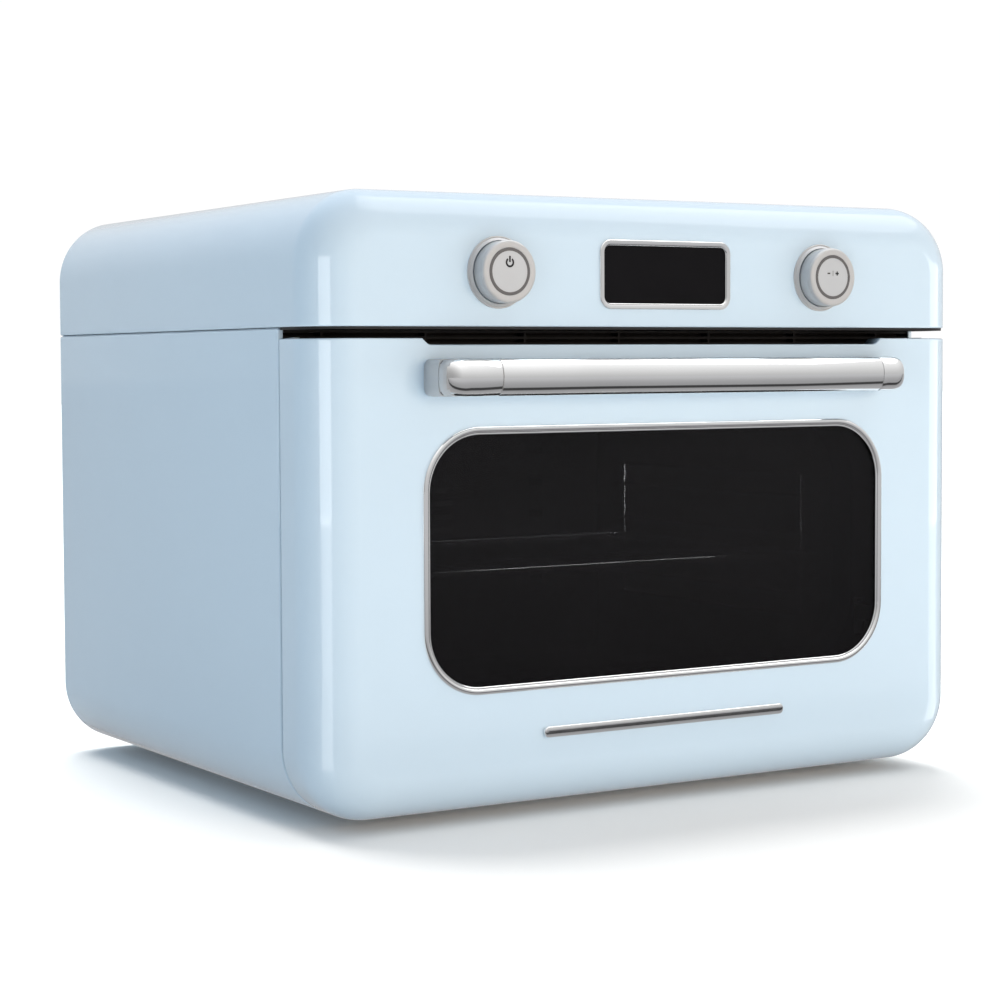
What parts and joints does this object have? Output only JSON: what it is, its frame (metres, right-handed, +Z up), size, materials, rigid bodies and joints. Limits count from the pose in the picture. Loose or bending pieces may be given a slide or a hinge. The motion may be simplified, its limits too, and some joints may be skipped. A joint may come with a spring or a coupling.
{
  "type": "toaster oven",
  "caption": "Countertop oven with rounded enamelled casing, drop-down glass door, bar handle, display and two turn-and-press knobs.",
  "frame": {"origin": "centre of the footprint, at the height of the surface that the feet stand on", "axes": "+X to the right seen from the front, +Y to the back, +Z up"},
  "size_m": [0.497, 0.43, 0.384],
  "materials": {
    "enamel": "gloss pale blue enamel",
    "galvanised": "galvanised steel sheet",
    "black_plastic": "moulded black",
    "motor_black": "black painted laminations",
    "ceramic": "unglazed steatite",
    "mineral_wool": "mineral wool blanket",
    "dark_steel": "dark enamelled steel",
    "cavity_enamel": "dark easy-clean enamel",
    "gasket": "silicone seal",
    "heater_tube": "oxidised sheath",
    "bare_steel": "zinc-plated",
    "wire_chrome": "bright wire",
    "lamp_glass": "borosilicate",
    "circuit_board": "green solder mask",
    "display_glass": "black display window",
    "chrome": "polished",
    "foot_rubber": "matt",
    "screw_black": "black zinc",
    "aluminium": "pressed strip",
    "brass": "turned",
    "ring_grey": "dark light ring",
    "satin_cap": "satin disc",
    "door_glass": "smoked glass",
    "inner_glass": "clear tempered glass"
  },
  "bodies": {
    "casing": {"top_cover": "enamel", "lower_casing": "enamel", "rear_panel": "galvanised", "base_rails": "galvanised", "cooling_duct": "galvanised", "blower_housing": "galvanised", "under_plate": "black_plastic", "vent_grille": "black_plastic", "blower_motor": "motor_black", "thermal_cutout": "black_plastic", "display_module": "black_plastic", "inlet_socket": "black_plastic", "lamp_holder": "ceramic", "insulation": "mineral_wool", "front_frame": "dark_steel", "oven_cavity": "cavity_enamel", "fan_cover": "cavity_enamel", "door_gasket": "gasket", "ring_heater": "heater_tube", "grill_heater": "heater_tube", "bottom_heater": "heater_tube", "fan_motor": "bare_steel", "rack_support_left": "wire_chrome", "rack_support_right": "wire_chrome", "wire_shelf": "wire_chrome", "lamp_lens": "lamp_glass", "temperature_probe": "bare_steel", "power_board": "circuit_board", "control_board": "circuit_board", "display_glass": "display_glass", "display_bezel": "chrome", "knob_bezels": "chrome", "left_encoder": "bare_steel", "right_encoder": "bare_steel", "feet": "foot_rubber", "rear_screws": "screw_black", "hinge_arm_left": "bare_steel", "hinge_arm_right": "bare_steel"},
    "door": {"door_skin": "enamel", "window_trim": "chrome", "outer_glass": "door_glass", "inner_glass": "inner_glass", "door_liner": "dark_steel", "handle_bar": "chrome", "handle_end_left": "chrome", "handle_end_right": "chrome", "door_badge": "chrome", "hinge_brackets": "bare_steel", "hinge_pins": "bare_steel"},
    "fan": {"convection_fan": "bare_steel"},
    "blower": {"blower_rotor": "aluminium"},
    "left_turner": {"left_encoder_rotor": "brass"},
    "right_turner": {"right_encoder_rotor": "brass"},
    "left_button": {"left_knob": "chrome", "left_knob_ring": "ring_grey", "left_knob_cap": "satin_cap"},
    "right_button": {"right_knob": "chrome", "right_knob_ring": "ring_grey", "right_knob_cap": "satin_cap"}
  },
  "joints": [
    {"name": "door_hinge", "type": "hinge", "parent": "casing", "child": "door", "pos_m": [0, -0.172, 0.023], "axis": [1, 0, 0], "range_deg": [0, 84]},
    {"name": "fan_spin", "type": "hinge", "parent": "casing", "child": "fan", "pos_m": [0, 0.139, 0.1655], "axis": [0, 1, 0], "continuous": true},
    {"name": "blower_spin", "type": "hinge", "parent": "casing", "child": "blower", "pos_m": [0, 0.107, 0.3368], "axis": [1, 0, 0], "continuous": true},
    {"name": "left_knob_turn", "type": "hinge", "parent": "casing", "child": "left_turner", "pos_m": [-0.1243, -0.183, 0.3348], "axis": [0, 1, 0], "continuous": true},
    {"name": "left_knob_press", "type": "slide", "parent": "left_turner", "child": "left_button", "axis": [0, 1, 0], "range_m": [0, 0.0018], "stiffness_N_per_m": 800, "springref_m": -0.0008},
    {"name": "right_knob_turn", "type": "hinge", "parent": "casing", "child": "right_turner", "pos_m": [0.1243, -0.183, 0.3348], "axis": [0, 1, 0], "continuous": true},
    {"name": "right_knob_press", "type": "slide", "parent": "right_turner", "child": "right_button", "axis": [0, 1, 0], "range_m": [0, 0.0018], "stiffness_N_per_m": 800, "springref_m": -0.0008}
  ]
}
